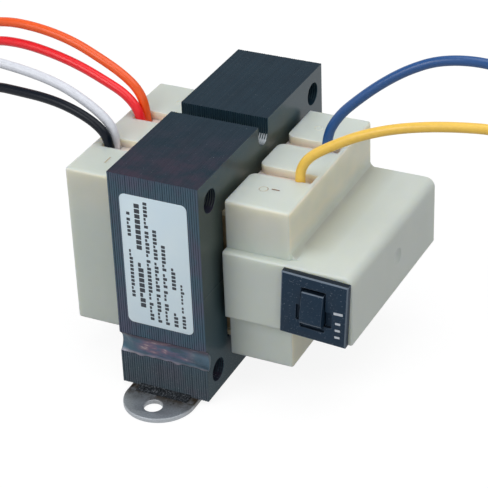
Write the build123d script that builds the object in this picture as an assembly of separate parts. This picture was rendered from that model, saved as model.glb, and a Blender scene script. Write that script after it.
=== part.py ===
from build123d import *
from math import pi, radians, tan
import os

# Frame: millimetres, +Z up, origin on the mounting plane midway between the foot's two holes.
# The steel sheets are stacked along X, the core is long along Y, and the nameplate faces -Y.

# Core sheets: one standard E and I pattern of silicon steel
centre_leg_width = 28.575
window_width = 14.2875
window_height = 42.8625
outer_leg_width = 14.2875
yoke_height = 14.2875
i_bar_height = 14.2875
stack_thickness = 28.575
clamp_hole_diameter = 7.14
clamp_hole_edge = 7.14375

# Slot in the sheets' top edge, and grooves in their front and rear edges for the welds that tie the stack
weld_groove_radius = 4.05
weld_groove_standoff = 2.35
weld_crown = 0.3
weld_gap = 0.1
weld_short_end = 3.5
weld_overrun = 0.6
top_slot_width = 6.35
top_slot_depth = 7.0

# Foot: a flat strap under the core
foot_length = 114.3
foot_width = 22.2
foot_thickness = 1.5
foot_hole_diameter = 5.6
foot_hole_edge = 6.35
foot_weld_width = 3.0
foot_weld_height = 0.8
foot_weld_length = 17.0

# Nameplate stuck on the front edges of the sheets
label_width = 21.3
label_height = 43.0
label_corner = 1.8
label_thickness = 0.15
label_lift = 8.3

# Bobbin: a moulded spool with two winding sections, one above the other
leg_clearance = 0.3
bobbin_wall = 1.2
bobbin_corner = 0.8
flange_thickness = 1.5
partition_thickness = 1.2
flange_end_gap = 0.3
flange_side_gap = 0.675
flange_overhang = 19.4
flange_corner = 2.0
wire_slot_width = 1.6
wire_slot_depth = 5.0
wire_slot_spacing = 36.0

# Windings and the tape round them
primary_section_height = 20.5
winding_slack = 0.1
winding_end_gap = 0.2
winding_margin = 2.0
winding_corner = 4.0
wrap_slack = 0.1
wrap_thickness = 0.5

# Coil covers: moulded shells, open towards the core, that seat on the bobbin's flanges
cover_wall = 2.0
cover_fit = 0.3
rim_gap = 1.7
cover_corner = 0.9
cover_face_radius = 0.8
primary_channel_width = 6.2
primary_channel_shift = -1.4
secondary_channel_width = 4.9
secondary_channel_shift = 0.0
channel_depth = 2.65
channel_spacing = 19.4
primary_channel_end_wall = 3.4
secondary_channel_end_wall = 1.4
cut_overrun = 1.0
trough_wall = 1.2
pad_corner = 2.4
pad_edge_radius = 0.3
rib_thickness = 1.6

# Breaker housing, one moulding with the secondary cover
housing_overhang = 19.9
housing_flare = 1.1
housing_proud = 2.8
housing_height = 22.3
housing_drop = 0.4
housing_crest_radius = 3.0
housing_edge_radius = 0.7
housing_cove = 2.3

# Breaker: a snap-in thermal cut-out with a push button that pops out when it trips. It sits a little
# turned in the housing.
breaker_turn = 3.2
faceplate_width = 20.4
faceplate_height = 20.6
faceplate_thickness = 2.25
faceplate_chamfer = 0.4
faceplate_inset = 0.7
faceplate_lift = -0.1
case_height = 15.8
case_depth = 28.0
case_wall = 1.4
case_fit = 0.3
barb_height = 0.8
barb_length = 4.0
barb_width = 6.0

# Reset button, its well in the faceplate and its travel
button_width = 6.7
button_height = 10.5
button_shift_x = -0.2
button_shift_z = 0.4
button_fit = 0.3
button_proud_top = 0.6
button_proud_bottom = 2.0
button_top_round = 0.6
button_bottom_round = 1.6
button_travel = 3.0
shoulder_overlap = 1.5
shoulder_thickness = 2.0
well_depth = 1.2
well_width = 7.5
well_height = 13.4
finger_notch_width = 11.0
finger_notch_height = 5.2
finger_notch_shift = 0.2
finger_notch_drop = 2.0

# Spring behind the button
spring_wire = 0.5
spring_mean_radius = 2.0
spring_length = 7.8
spring_turns = 4
spring_seat_gap = 0.05
spring_pin_diameter = 2.6
spring_pin_length = 2.7
spring_boss_diameter = 5.0

# Breaker's current path
blade_width = 4.75
blade_thickness = 0.8
blade_spacing = 10.8
blade_wall_gap = 0.4
blade_drop = 3.9
blade_front = 9.0
blade_tail = 7.0
blade_hole_diameter = 1.4
blade_slot_gap = 0.1
contact_diameter = 2.8
contact_thickness = 0.9
bimetal_width = 3.2
bimetal_thickness = 0.4
bimetal_weld_length = 6.0
bimetal_tip_length = 4.0
reset_foot_gap = 0.3
reset_foot_width = 2.4
reset_foot_height = 1.7
jumper_diameter = 2.0
jumper_lead_in = 6.0
jumper_rise = 4.0
line_jumper_side = 0.5
line_jumper_back = 11.0
line_jumper_up = 5.0
line_jumper_reach = 12.0
load_jumper_side = 5.0
load_jumper_back = 13.0
load_jumper_up = 6.0
load_jumper_reach = 18.0

# Leads: stranded hook-up wire in a thick plastic jacket, with bare twisted ends
lead_diameter = 3.0
lead_hole_clearance = 0.6
strand_diameter = 1.3
strip_length = 9.0
arc_share = 0.45

# Each lead stands in a channel of a cover, arches out and comes down to lie on the mounting plane.
# The primary leads stand two to a channel, side by side.
lead_routes = {
    "black_lead": [
        (-30.5, -12.65, 58.35), (-30.5, -12.65, 65.1), (-35.7, -11.6, 69.1), (-44.2, -10.8, 72.1),
        (-53.1, -9.6, 73.1), (-63.0, -8.4, 72.9), (-73.6, -7.0, 72.4), (-84.6, -7.2, 69.0),
        (-95.5, -8.3, 61.0), (-105.5, -10.0, 48.5), (-112.0, -12.0, 33.0), (-117.0, -14.0, 17.5),
        (-125.0, -18.0, 5.2), (-135.0, -26.0, 1.5), (-141.0, -38.0, 1.5), (-142.0, -50.0, 1.5),
    ],
    "white_lead": [
        (-30.5, -9.55, 58.35), (-30.5, -9.55, 61.5), (-30.8, -9.1, 65.0), (-32.7, -8.5, 68.4),
        (-39.2, -7.8, 72.7), (-49.7, -7.0, 77.3), (-63.9, -6.2, 79.6), (-79.2, -5.6, 80.4),
        (-94.0, -5.5, 73.8), (-106.5, -5.5, 62.5), (-115.5, -5.5, 47.0), (-121.5, -5.5, 30.0),
        (-128.5, -5.3, 14.0), (-140.0, -5.5, 3.2), (-153.0, -7.5, 1.5), (-163.0, -11.5, 1.5),
    ],
    "red_lead": [
        (-30.2, 6.75, 58.35), (-30.2, 6.75, 63.9), (-35.3, 8.0, 69.1), (-43.7, 9.0, 72.3),
        (-53.2, 10.4, 75.1), (-63.8, 11.8, 76.9), (-75.2, 13.2, 77.7), (-87.3, 14.7, 76.3),
        (-98.5, 16.3, 69.0), (-108.5, 17.8, 56.5), (-115.0, 19.0, 40.5), (-120.0, 20.5, 24.0),
        (-128.0, 23.0, 9.5), (-138.0, 28.5, 1.9), (-147.0, 37.0, 1.5), (-153.0, 47.0, 1.5),
    ],
    "orange_lead": [
        (-30.2, 9.85, 58.35), (-30.2, 9.85, 64.9), (-32.8, 10.6, 70.3), (-38.5, 11.3, 74.4),
        (-46.6, 12.1, 78.0), (-56.7, 13.1, 81.7), (-68.8, 14.2, 83.6), (-82.3, 15.4, 83.4),
        (-95.5, 17.5, 78.8), (-108.5, 20.0, 68.3), (-117.5, 22.5, 53.5), (-123.0, 25.0, 36.5),
        (-128.5, 28.0, 19.5), (-136.5, 33.0, 6.4), (-145.0, 41.0, 1.5), (-149.5, 51.5, 1.5),
    ],
    "yellow_lead": [
        (30.8, -11.0, 58.35), (30.8, -11.0, 61.6), (30.6, -10.2, 66.3), (33.2, -9.3, 70.4),
        (39.4, -8.3, 74.4), (48.1, -7.0, 79.0), (59.6, -5.5, 82.8), (73.7, -3.7, 85.0),
        (88.5, -1.8, 85.6), (103.0, -0.6, 79.8), (115.5, -0.5, 69.0), (124.0, -1.5, 54.5),
        (129.5, -3.0, 38.0), (134.0, -5.0, 21.5), (140.5, -9.0, 8.0), (148.5, -17.0, 1.5),
        (153.5, -28.0, 1.5), (154.5, -39.0, 1.5),
    ],
    "blue_lead": [
        (30.4, 8.6, 58.35), (30.4, 8.6, 67.3), (34.2, 9.7, 74.6), (40.0, 10.8, 80.4),
        (46.4, 12.0, 85.9), (53.9, 13.4, 91.0), (63.0, 15.0, 95.0), (75.1, 16.7, 95.8),
        (87.3, 18.8, 92.6), (98.5, 21.4, 83.3), (108.0, 24.0, 70.0), (114.5, 26.5, 54.0),
        (119.5, 28.5, 37.0), (125.5, 31.0, 20.5), (133.5, 34.5, 6.9), (143.0, 40.0, 1.5),
        (149.0, 49.0, 1.5),
    ],
}
primary_leads = [["black_lead", "white_lead"], ["red_lead", "orange_lead"]]
secondary_leads = [["yellow_lead"], ["blue_lead"]]

# Places that follow from the sizes
core_length = centre_leg_width + 2 * (window_width + outer_leg_width)
core_bottom = foot_thickness
joint_z = core_bottom + i_bar_height
window_top = joint_z + window_height
core_top = window_top + yoke_height
window_middle = (joint_z + window_top) / 2
stack_face = stack_thickness / 2
foot_hole_spacing = foot_length - 2 * foot_hole_edge
window_outer = centre_leg_width / 2 + window_width

flange_bottom = joint_z + flange_end_gap
flange_top = window_top - flange_end_gap
flange_half_x = stack_face + flange_overhang
flange_half_y = window_outer - flange_side_gap
bore_half_x = stack_face + leg_clearance
bore_half_y = centre_leg_width / 2 + leg_clearance
tube_half_x = bore_half_x + bobbin_wall
tube_half_y = bore_half_y + bobbin_wall
partition_z = flange_bottom + flange_thickness + primary_section_height
winding_half_x = flange_half_x - winding_margin
winding_half_y = flange_half_y - winding_margin

rim_x = stack_face + rim_gap
cover_inside_x = flange_half_x + cover_fit
cover_face_x = cover_inside_x + cover_wall
cover_half_y = flange_half_y + cover_fit + cover_wall
channel_floor = flange_top + cover_fit + cover_wall
cover_top = channel_floor + channel_depth
cover_bottom = flange_bottom - cover_fit - cover_wall - channel_depth
cover_middle = (cover_top + cover_bottom) / 2

housing_face_x = cover_face_x + housing_overhang
housing_front = -cover_half_y - housing_proud
housing_middle = cover_middle - housing_drop
case_width = blade_spacing + blade_thickness + 2 * (blade_wall_gap + case_wall)
faceplate_x = housing_face_x - faceplate_inset - faceplate_width / 2
breaker_place = Pos(faceplate_x, housing_front, housing_middle + faceplate_lift) * Rot(0, breaker_turn, 0)
shoulder_front = button_travel + button_fit
shoulder_back = shoulder_front + shoulder_thickness
spring_seat = shoulder_back + spring_length


def block(x0, x1, y0, y1, z0, z1):
    """A box between two corners"""
    return Pos((x0 + x1) / 2, (y0 + y1) / 2, (z0 + z1) / 2) * Box(x1 - x0, y1 - y0, z1 - z0)


def on_sheet(y, z):
    """A place in the plane of one steel sheet, seen from +X"""
    return Plane.YZ * Pos(y, z)


def weld_grooves():
    """Half-round grooves where the E and I sheets meet, front and rear"""
    reach = core_length / 2 + weld_groove_standoff
    return [on_sheet(side * reach, joint_z) * Circle(weld_groove_radius) for side in (-1, 1)]


def clamp_holes(z):
    """The two holes along one edge of the core"""
    reach = core_length / 2 - clamp_hole_edge
    return [on_sheet(side * reach, z) * Circle(clamp_hole_diameter / 2) for side in (-1, 1)]


def top_slot():
    """Round-bottomed slot across the middle of the yoke"""
    radius = top_slot_width / 2
    centre_z = core_top - top_slot_depth + radius
    mouth = on_sheet(0, centre_z + top_slot_depth / 2) * Rectangle(top_slot_width, top_slot_depth)
    return mouth + on_sheet(0, centre_z) * Circle(radius)


def e_lamination_stack():
    leg_height = yoke_height + window_height
    leg_z = joint_z + leg_height / 2
    sheet = on_sheet(0, core_top - yoke_height / 2) * Rectangle(core_length, yoke_height)
    sheet += on_sheet(0, leg_z) * Rectangle(centre_leg_width, leg_height)
    for side in (-1, 1):
        leg_y = side * (core_length - outer_leg_width) / 2
        sheet += on_sheet(leg_y, leg_z) * Rectangle(outer_leg_width, leg_height)
    sheet -= weld_grooves() + clamp_holes(core_top - clamp_hole_edge)
    sheet -= top_slot()
    return extrude(sheet, stack_thickness / 2, both=True)


def i_lamination_stack():
    sheet = on_sheet(0, core_bottom + i_bar_height / 2) * Rectangle(core_length, i_bar_height)
    sheet -= weld_grooves() + clamp_holes(core_bottom + clamp_hole_edge)
    return extrude(sheet, stack_thickness / 2, both=True)


def groove_weld(side):
    """Bead in one groove: its back follows the groove, its face is slightly crowned and one end runs over"""
    face_y = core_length / 2
    half_chord = (weld_groove_radius ** 2 - weld_groove_standoff ** 2) ** 0.5 - weld_gap
    root_y = face_y + weld_groove_standoff - weld_groove_radius + weld_gap
    low = (side * face_y, joint_z - half_chord)
    high = (side * face_y, joint_z + half_chord)
    root = ThreePointArc(low, (side * root_y, joint_z), high)
    crown = ThreePointArc(high, (side * (face_y + weld_crown), joint_z), low)
    section = Plane.YZ * make_face([root, crown])
    bead = extrude(section, stack_thickness - weld_short_end + weld_overrun, dir=(1, 0, 0))
    return Pos(weld_short_end - stack_face) * bead


def mounting_foot():
    strap = extrude(Rot(0, 0, 90) * SlotOverall(foot_length, foot_width), foot_thickness)
    for side in (-1, 1):
        hole = Pos(0, side * foot_hole_spacing / 2) * Circle(foot_hole_diameter / 2)
        strap -= extrude(hole, foot_thickness)
    return strap


def foot_welds():
    """A fillet weld at the front and one at the rear, between the core and the strap"""
    beads = []
    for side in (-1, 1):
        root = (side * core_length / 2, foot_thickness)
        toe = (root[0] + side * foot_weld_width, root[1])
        top = (root[0], root[1] + foot_weld_height)
        throat = (root[0] + side * 0.4 * foot_weld_width, root[1] + 0.4 * foot_weld_height)
        section = make_face([Line(top, root), Line(root, toe), ThreePointArc(toe, throat, top)])
        beads.append(extrude(Plane.YZ * section, foot_weld_length / 2, both=True))
    return Compound(children=[bead.solid() for bead in beads])


def nameplate_label():
    place = Plane.XZ * Pos(0, window_middle + label_lift, core_length / 2)
    return extrude(place * RectangleRounded(label_width, label_height, label_corner), label_thickness)


def ring(half_x, half_y, corner, inner_half_x, inner_half_y, inner_corner, z0, z1):
    """An upright ring with a rounded oblong outline and hole"""
    section = RectangleRounded(2 * half_x, 2 * half_y, corner)
    section -= RectangleRounded(2 * inner_half_x, 2 * inner_half_y, inner_corner)
    return Pos(0, 0, z0) * extrude(section, z1 - z0)


def bobbin():
    bore_corner = bobbin_corner / 2
    spool = ring(tube_half_x, tube_half_y, bobbin_corner, bore_half_x, bore_half_y, bore_corner,
                 flange_bottom, flange_top)
    floors = [
        (flange_bottom, flange_bottom + flange_thickness),
        (partition_z, partition_z + partition_thickness),
        (flange_top - flange_thickness, flange_top),
    ]
    for z0, z1 in floors:
        spool += ring(flange_half_x, flange_half_y, flange_corner,
                      bore_half_x, bore_half_y, bore_corner, z0, z1)
    for side in (-1, 1):
        for end in (-1, 1):
            slot_y = end * wire_slot_spacing / 2
            slot = Pos(side * flange_half_x, slot_y, (partition_z + flange_top) / 2 + flange_thickness)
            slot *= Box(2 * wire_slot_depth, wire_slot_width, flange_top - partition_z + 2 * flange_thickness)
            spool -= slot
    return spool


def winding(z0, z1):
    return ring(winding_half_x, winding_half_y, winding_corner,
                tube_half_x + winding_slack, tube_half_y + winding_slack, bobbin_corner + winding_slack,
                z0 + winding_end_gap, z1 - winding_end_gap)


def wrap(z0, z1):
    inner_x = winding_half_x + wrap_slack
    inner_y = winding_half_y + wrap_slack
    inner_corner = winding_corner + wrap_slack
    return ring(inner_x + wrap_thickness, inner_y + wrap_thickness, inner_corner + wrap_thickness,
                inner_x, inner_y, inner_corner, z0 + winding_end_gap, z1 - winding_end_gap)


def channels(width, shift):
    """Front and rear edges of a cover's two lead channels"""
    middles = [shift - channel_spacing / 2, shift + channel_spacing / 2]
    return [(middle - width / 2, middle + width / 2) for middle in middles]


def cover_outside(channel_edges, end_wall):
    """Solid outer form of a cover on the +X side, with the two lead channels across its top"""
    cover_height = cover_top - cover_bottom
    outline = on_sheet(0, cover_middle) * RectangleRounded(2 * cover_half_y, cover_height, cover_corner)
    form = Pos(rim_x) * extrude(outline, cover_face_x - rim_x)
    form = fillet(form.faces().sort_by(Axis.X)[-1].edges(), cover_face_radius)
    for front, rear in channel_edges:
        form -= block(rim_x - cut_overrun, cover_face_x - end_wall, front, rear,
                      channel_floor, cover_top + cut_overrun)
    mouths = form.edges().filter_by(Axis.Z).group_by(Axis.X)[0]
    mouths = mouths.filter_by(lambda edge: abs(edge.center().Y) < cover_half_y - cover_corner)
    form = fillet(mouths, pad_corner)
    flat_end = cover_face_x - cover_face_radius - pad_edge_radius
    brims = form.faces().sort_by(Axis.Z)[-1].edges()
    brims = brims.filter_by(lambda edge: edge.center().X < flat_end)
    brims = brims.filter_by(lambda edge: abs(edge.center().Y) < cover_half_y - cover_corner - pad_edge_radius)
    return fillet(brims, pad_edge_radius)


def cover_cavity(channel_edges):
    """Space inside a cover: troughs under the channels seat on the top flange, ribs under the bottom one"""
    inside_y = cover_half_y - cover_wall
    cavity = block(rim_x - cut_overrun, cover_inside_x, -inside_y, inside_y,
                   cover_bottom + cover_wall, cover_top - cover_wall)
    for front, rear in channel_edges:
        middle = (front + rear) / 2
        cavity -= block(rim_x, cover_inside_x, front - trough_wall, rear + trough_wall,
                        flange_top + cover_fit, cover_top)
        cavity -= block(rim_x, cover_inside_x, middle - rib_thickness / 2, middle + rib_thickness / 2,
                        cover_bottom, flange_bottom - cover_fit)
    return cavity


def lead_holes(channel_leads):
    """A hole in each channel's floor, round for one lead and oblong for two"""
    holes = []
    for names in channel_leads:
        circles = []
        for name in names:
            x, y, z = lead_routes[name][0]
            circles.append(Pos(x, y, flange_top) * Circle((lead_diameter + lead_hole_clearance) / 2).edge())
        holes.append(extrude(make_hull(circles), cover_top - flange_top))
    return holes


def primary_cover():
    channel_edges = channels(primary_channel_width, primary_channel_shift)
    shell = cover_outside(channel_edges, primary_channel_end_wall) - cover_cavity(channel_edges)
    return mirror(shell, about=Plane.YZ) - lead_holes(primary_leads)


def housing_box(inset, start_x):
    """The housing's long box across the cover, wider towards the rear, or the space an inset inside it"""
    outer_x = housing_face_x - inset
    front = housing_front + inset
    rear = cover_half_y - inset
    corners = [(start_x, rear), (start_x, front), (outer_x, front), (outer_x + housing_flare, rear)]
    height = housing_height - 2 * inset
    return Pos(0, 0, housing_middle - height / 2) * extrude(make_face(Polyline(*corners, close=True)), height)


def housing_outside():
    """Box with a rounded crest and its other outer edges just broken"""
    box = housing_box(0, rim_x)
    crest = box.faces().sort_by(Axis.X)[-1].edges().sort_by(Axis.Z)[-1]
    box = fillet(crest, housing_crest_radius)
    ends = box.faces().filter_by(Axis.Y).edges() - box.faces().sort_by(Axis.X)[0].edges()
    keel = box.faces().sort_by(Axis.Z)[0].edges().sort_by(Axis.X)[-1]
    return fillet(ends + [keel], housing_edge_radius)


def housing_cavity():
    return housing_box(cover_wall, rim_x - cut_overrun)


def housing_coves():
    """Round inside corners where the housing leaves the face of the cover"""
    coves = []
    for side in (-1, 1):
        corner = Pos(cover_face_x, housing_middle + side * housing_height / 2)
        inside = corner * Pos(housing_cove / 2, side * housing_cove / 2)
        quarter = inside * Rectangle(housing_cove, housing_cove)
        quarter -= Pos(housing_cove, side * housing_cove) * corner * Circle(housing_cove)
        length = 2 * (cover_half_y - cover_corner)
        coves.append(extrude(Plane.XZ * quarter, length / 2, both=True))
    return coves


def breaker_opening():
    """Room for the breaker's case, through the housing's front wall"""
    half_x = case_width / 2 + case_fit
    half_z = case_height / 2 + case_fit
    return breaker_place * block(-half_x, half_x, -cut_overrun, case_depth + case_fit, -half_z, half_z)


def secondary_cover():
    channel_edges = channels(secondary_channel_width, secondary_channel_shift)
    form = cover_outside(channel_edges, secondary_channel_end_wall) + housing_outside() + housing_coves()
    shell = form - (cover_cavity(channel_edges) + housing_cavity())
    return shell - breaker_opening() - lead_holes(secondary_leads)


def breaker_case():
    """Open-fronted box with snap barbs above and below, a boss for the spring and slots for the blades"""
    half_x = case_width / 2
    half_z = case_height / 2
    inside = case_depth - case_wall
    case = block(-half_x, half_x, 0, case_depth, -half_z, half_z)
    case -= block(case_wall - half_x, half_x - case_wall, -cut_overrun, inside,
                  case_wall - half_z, half_z - case_wall)
    barb_start = cover_wall + case_fit
    for side in (-1, 1):
        root = (barb_start, side * half_z)
        tip = (barb_start, side * (half_z + barb_height))
        tail = (barb_start + barb_length, side * half_z)
        barb = make_face(Polyline(root, tip, tail, close=True))
        case += extrude(Plane.YZ * barb, barb_width / 2, both=True)
    axis = Plane((button_shift_x, spring_seat, button_shift_z), x_dir=(1, 0, 0), z_dir=(0, 1, 0))
    case += extrude(axis * Circle(spring_boss_diameter / 2), inside - spring_seat)
    case += extrude(axis * Circle(spring_pin_diameter / 2), -spring_pin_length)
    for side in (-1, 1):
        slot = Pos(side * blade_spacing / 2, inside + case_wall / 2, -blade_drop)
        case -= slot * Box(blade_thickness + 2 * blade_slot_gap, 2 * case_wall,
                           blade_width + 2 * blade_slot_gap)
    return breaker_place * case


def breaker_faceplate():
    """Bevelled square plate with a well and finger notches round the button"""
    half_x = faceplate_width / 2
    half_z = faceplate_height / 2
    plate = block(-half_x, half_x, -faceplate_thickness, 0, -half_z, half_z)
    plate = chamfer(plate.faces().sort_by(Axis.Y)[0].edges(), faceplate_chamfer)
    well_y = well_depth / 2 - faceplate_thickness
    plate -= Pos(button_shift_x, well_y, 0) * Box(well_width, well_depth, well_height)
    notch = Pos(finger_notch_shift, well_y, -finger_notch_drop)
    plate -= notch * Box(finger_notch_width, well_depth, finger_notch_height)
    hole = Pos(button_shift_x, 0, button_shift_z)
    plate -= hole * Box(button_width + 2 * button_fit, 3 * faceplate_thickness, button_height + 2 * button_fit)
    return breaker_place * plate


def reset_button():
    """Wedge-faced cap, a shoulder that stops it behind the faceplate and a foot that re-seats the bimetal"""
    low = -button_height / 2
    high = button_height / 2
    low_y = -faceplate_thickness - button_proud_bottom
    high_y = -faceplate_thickness - button_proud_top
    side_view = make_face(Polyline(
        (shoulder_front, low), (low_y, low), (high_y, high), (shoulder_front, high), close=True))
    corners = side_view.vertices().sort_by(Axis.X)[:2].sort_by(Axis.Y)
    side_view = fillet(corners[0], button_bottom_round)
    side_view = fillet(side_view.vertices().group_by(Axis.Y)[-1].sort_by(Axis.X)[0], button_top_round)
    button = extrude(Plane.YZ * side_view, button_width / 2, both=True)
    shoulder_half = button_width / 2 + shoulder_overlap
    button += block(-shoulder_half, shoulder_half, shoulder_front, shoulder_back, low, high)
    rear = Plane((0, shoulder_back, 0), x_dir=(1, 0, 0), z_dir=(0, 1, 0))
    button += extrude(rear * Circle(spring_pin_diameter / 2), spring_pin_length)
    foot_x = shoulder_half - reset_foot_width
    button += block(foot_x, shoulder_half, shoulder_front, blade_front - reset_foot_gap,
                    low, low + reset_foot_height)
    return breaker_place * Pos(button_shift_x, 0, button_shift_z) * button


def button_spring():
    wire_radius = spring_wire / 2
    start = shoulder_back + wire_radius + spring_seat_gap
    height = spring_length - spring_wire - 2 * spring_seat_gap
    helix = Helix(height / spring_turns, height, spring_mean_radius,
                  center=(button_shift_x, start, button_shift_z), direction=(0, 1, 0))
    section = Plane(origin=helix @ 0, z_dir=helix % 0) * Circle(wire_radius)
    return breaker_place * sweep(section, path=helix, is_frenet=True)


def blade(side):
    """Flat terminal from inside the case, through its rear wall, to a pierced tail"""
    end = case_depth + blade_tail
    x = side * blade_spacing / 2
    strip = block(x - blade_thickness / 2, x + blade_thickness / 2, blade_front, end,
                  -blade_drop - blade_width / 2, -blade_drop + blade_width / 2)
    hole = Pos(x, end - blade_width / 2, -blade_drop) * Rot(0, 90, 0)
    return strip - hole * Cylinder(blade_hole_diameter / 2, 2 * blade_thickness)


def contact(x0, x1):
    """A round contact rivet between two places along X"""
    place = Pos((x0 + x1) / 2, blade_front + bimetal_tip_length / 2, -blade_drop) * Rot(0, 90, 0)
    return place * Cylinder(contact_diameter / 2, x1 - x0)


def line_terminal():
    return breaker_place * blade(-1)


def load_terminal():
    inner_face = (blade_spacing - blade_thickness) / 2
    return breaker_place * (blade(1) + contact(inner_face - contact_thickness, inner_face))


def bimetal_strip():
    """Strip welded to the line blade that crosses to a contact on the load blade"""
    inner_face = (blade_spacing - blade_thickness) / 2
    tip_x = inner_face - 2 * contact_thickness
    tip_back = blade_front + bimetal_tip_length
    weld_back = case_depth - 2 * case_wall
    weld_front = weld_back - bimetal_weld_length
    t = bimetal_thickness
    outline = Polyline(
        (-inner_face, weld_back), (-inner_face, weld_front), (tip_x - t, tip_back), (tip_x - t, blade_front),
        (tip_x, blade_front), (tip_x, tip_back), (t - inner_face, weld_front), (t - inner_face, weld_back),
        close=True)
    strip = extrude(make_face(outline), bimetal_width / 2, both=True)
    strip = Pos(0, 0, -blade_drop) * strip + contact(tip_x, tip_x + contact_thickness)
    return breaker_place * strip


def tube(points, diameter):
    """Round wire along straight runs joined by arcs as large as the runs allow, with its arcs' radii"""
    spots = [Vector(point) for point in points]
    radii = []
    for before, corner, after in zip(spots, spots[1:], spots[2:]):
        shorter = min((corner - before).length, (after - corner).length)
        half_turn = (corner - before).get_angle(after - corner) / 2
        radii.append(arc_share * shorter / tan(radians(half_turn)))
    path = FilletPolyline(*spots, radius=radii)
    section = Plane(origin=path @ 0, z_dir=path % 0) * Circle(diameter / 2)
    return sweep(section, path=path), path, radii


def jumper(side, inward, back, up, reach):
    """Insulated wire from a blade's tail, by a middle point, square onto the secondary winding's tape"""
    tail = breaker_place * Pos(side * blade_spacing / 2, case_depth + blade_tail, -blade_drop)
    begin = tail.position
    tape_x = winding_half_x + wrap_slack + wrap_thickness
    end = Vector(tape_x, begin.Y + reach, partition_z + partition_thickness + jumper_rise)
    points = [
        begin,
        begin + Vector(0, jumper_lead_in, 0),
        begin + Vector(-inward, back, up),
        end + Vector(jumper_lead_in, 0, 0),
        end,
    ]
    return tube(points, jumper_diameter)[0]


def lead(name):
    solid, path, radii = tube(lead_routes[name], lead_diameter)
    section_volume = pi * lead_diameter ** 2 / 4 * path.length
    print(name, "length", round(path.length, 1), "volume ratio", round(solid.volume / section_volume, 5))
    print("  radii", [round(radius, 1) for radius in radii])
    return solid


def strands(name):
    """Stripped end of a lead, in line with it"""
    last = Vector(*lead_routes[name][-1])
    along = last - Vector(*lead_routes[name][-2])
    return extrude(Plane(origin=last, z_dir=along) * Circle(strand_diameter / 2), strip_length)


pieces = {
    "e_lamination_stack": e_lamination_stack(),
    "i_lamination_stack": i_lamination_stack(),
    "front_weld": groove_weld(-1),
    "rear_weld": groove_weld(1),
    "mounting_foot": mounting_foot(),
    "foot_welds": foot_welds(),
    "nameplate_label": nameplate_label(),
    "bobbin": bobbin(),
    "primary_winding": winding(flange_bottom + flange_thickness, partition_z),
    "secondary_winding": winding(partition_z + partition_thickness, flange_top - flange_thickness),
    "primary_wrap": wrap(flange_bottom + flange_thickness, partition_z),
    "secondary_wrap": wrap(partition_z + partition_thickness, flange_top - flange_thickness),
    "primary_cover": primary_cover(),
    "secondary_cover": secondary_cover(),
    "breaker_case": breaker_case(),
    "breaker_faceplate": breaker_faceplate(),
    "reset_button": reset_button(),
    "button_spring": button_spring(),
    "line_terminal": line_terminal(),
    "load_terminal": load_terminal(),
    "bimetal_strip": bimetal_strip(),
    "line_jumper": jumper(-1, line_jumper_side, line_jumper_back, line_jumper_up, line_jumper_reach),
    "load_jumper": jumper(1, load_jumper_side, load_jumper_back, load_jumper_up, load_jumper_reach),
}
for names in primary_leads + secondary_leads:
    for name in names:
        pieces[name] = lead(name)
        pieces[name + "_strands"] = strands(name)

os.makedirs("parts", exist_ok=True)
for node, solid in pieces.items():
    export_step(solid, f"parts/{node}.step")
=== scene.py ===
from math import cos, exp, pi, radians, sin
from random import Random

import bmesh
import bpy
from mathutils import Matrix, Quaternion, Vector, noise


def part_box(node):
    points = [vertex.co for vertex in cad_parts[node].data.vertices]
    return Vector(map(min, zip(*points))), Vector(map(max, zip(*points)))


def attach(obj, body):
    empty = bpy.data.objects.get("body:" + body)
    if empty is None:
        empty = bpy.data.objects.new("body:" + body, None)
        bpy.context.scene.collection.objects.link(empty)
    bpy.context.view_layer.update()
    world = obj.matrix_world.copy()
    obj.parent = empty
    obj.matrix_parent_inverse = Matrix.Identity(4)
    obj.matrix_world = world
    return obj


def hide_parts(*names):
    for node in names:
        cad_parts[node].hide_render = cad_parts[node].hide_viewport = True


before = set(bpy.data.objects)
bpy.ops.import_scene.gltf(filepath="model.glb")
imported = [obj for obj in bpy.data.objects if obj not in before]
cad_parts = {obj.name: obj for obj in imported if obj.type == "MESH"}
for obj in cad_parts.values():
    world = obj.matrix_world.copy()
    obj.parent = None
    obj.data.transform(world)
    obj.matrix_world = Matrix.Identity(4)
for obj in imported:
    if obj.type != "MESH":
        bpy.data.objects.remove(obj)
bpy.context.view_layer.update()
mm = 0.001

# View: the camera stands to the right of the label and looks down on the transformer, rolled a
# little to its right, with a long lens that keeps the upright edges nearly parallel.
view_place = Vector((0.2226, -0.4302, 0.3207))
view_back = Vector((0.3843, -0.7649, 0.5170))
view_roll = radians(-2.34)
view_lens = 135.96
camera = bpy.data.objects.new("view", bpy.data.cameras.new("view"))
bpy.context.scene.collection.objects.link(camera)
camera.rotation_mode = "QUATERNION"
camera.location = view_place
camera.rotation_quaternion = (-view_back).to_track_quat("-Z", "Y") @ Quaternion((0, 0, 1), view_roll)
camera.data.lens = view_lens
bpy.context.scene.camera = camera


# Core: E and I sheets of silicon steel, stamped, stacked with their faces along X and dipped in
# dark varnish. Each sheet is the stack's own outline, one sheet thick, with its burr broken, and
# it lies a hair out of line with the next. The gaps are drawn wide enough to show.
def only(piece):
    """Makes one object the selected and active one"""
    bpy.ops.object.select_all(action="DESELECT")
    piece.select_set(True)
    bpy.context.view_layer.objects.active = piece


def from_frame(node, name):
    """A copy of a CAD node as one closed mesh, open in edit mode with nothing selected"""
    piece = bpy.data.objects.new(name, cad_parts[node].data.copy())
    bpy.context.scene.collection.objects.link(piece)
    piece.data.materials.clear()
    only(piece)
    bpy.ops.mesh.customdata_custom_splitnormals_clear()
    bpy.ops.object.mode_set(mode="EDIT")
    bpy.ops.mesh.select_all(action="SELECT")
    bpy.ops.mesh.remove_doubles(threshold=0.002 * mm)
    bpy.ops.mesh.dissolve_limited(angle_limit=radians(0.5))
    bpy.ops.mesh.select_all(action="DESELECT")
    return piece


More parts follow.
